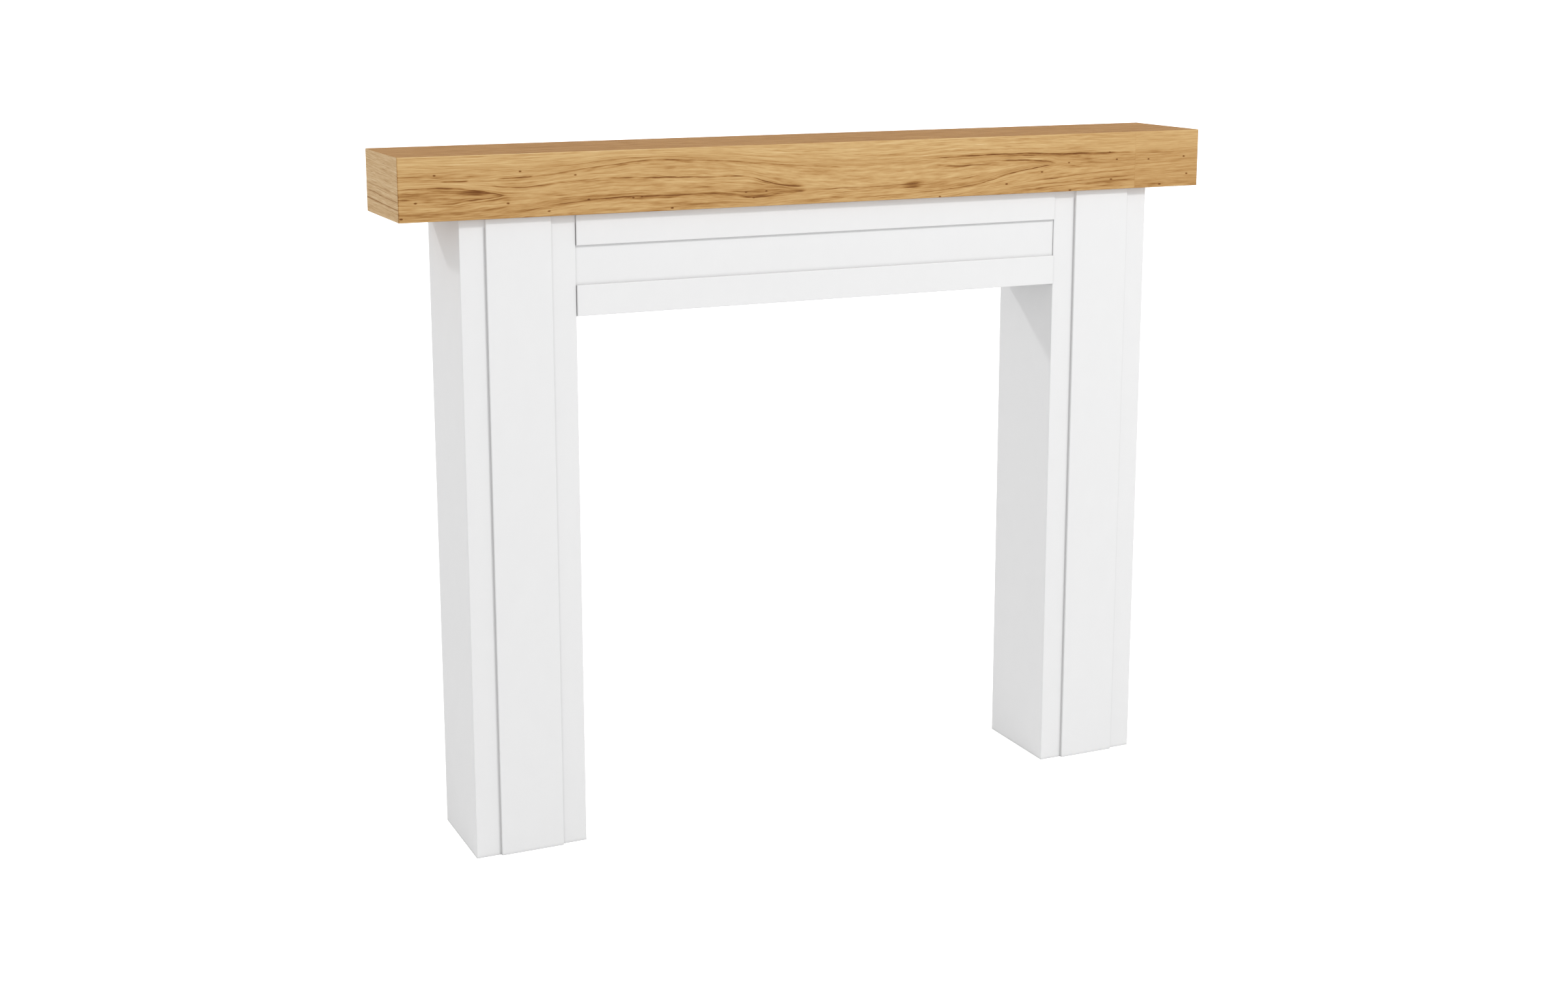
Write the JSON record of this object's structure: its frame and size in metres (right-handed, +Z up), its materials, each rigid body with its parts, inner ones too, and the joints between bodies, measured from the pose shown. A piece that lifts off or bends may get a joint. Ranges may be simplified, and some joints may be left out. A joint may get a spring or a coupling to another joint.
{
  "type": "fireplace mantelpiece",
  "caption": "Free-standing fireplace surround: hollow oak-decor box shelf on two white panelled box legs, with a railed frieze above the fire opening.",
  "frame": {"origin": "on the floor under the middle of the shelf, half-way from its front to its back", "axes": "+X along the shelf to the right as seen from the front, +Y towards the wall, +Z up; the front looks along -Y"},
  "size_m": [1.4, 0.188, 1.104],
  "materials": {
    "oak_decor": "wood-based board with a golden oak decor, satin, grain along the shelf and front to back on its ends",
    "white_matt": "wood-based board with a smooth matt white finish, raw at the back edges"
  },
  "bodies": {
    "root": {"shelf_front": "oak_decor", "shelf_top": "oak_decor", "shelf_underside": "oak_decor", "shelf_end_left": "oak_decor", "shelf_end_right": "oak_decor", "leg_left_front": "white_matt", "leg_left_outer_side": "white_matt", "leg_left_inner_side": "white_matt", "leg_left_panel": "white_matt", "leg_right_front": "white_matt", "leg_right_outer_side": "white_matt", "leg_right_inner_side": "white_matt", "leg_right_panel": "white_matt", "frieze_board": "white_matt", "frieze_top_rail": "white_matt", "frieze_low_rail": "white_matt", "frieze_soffit": "white_matt"}
  },
  "joints": []
}
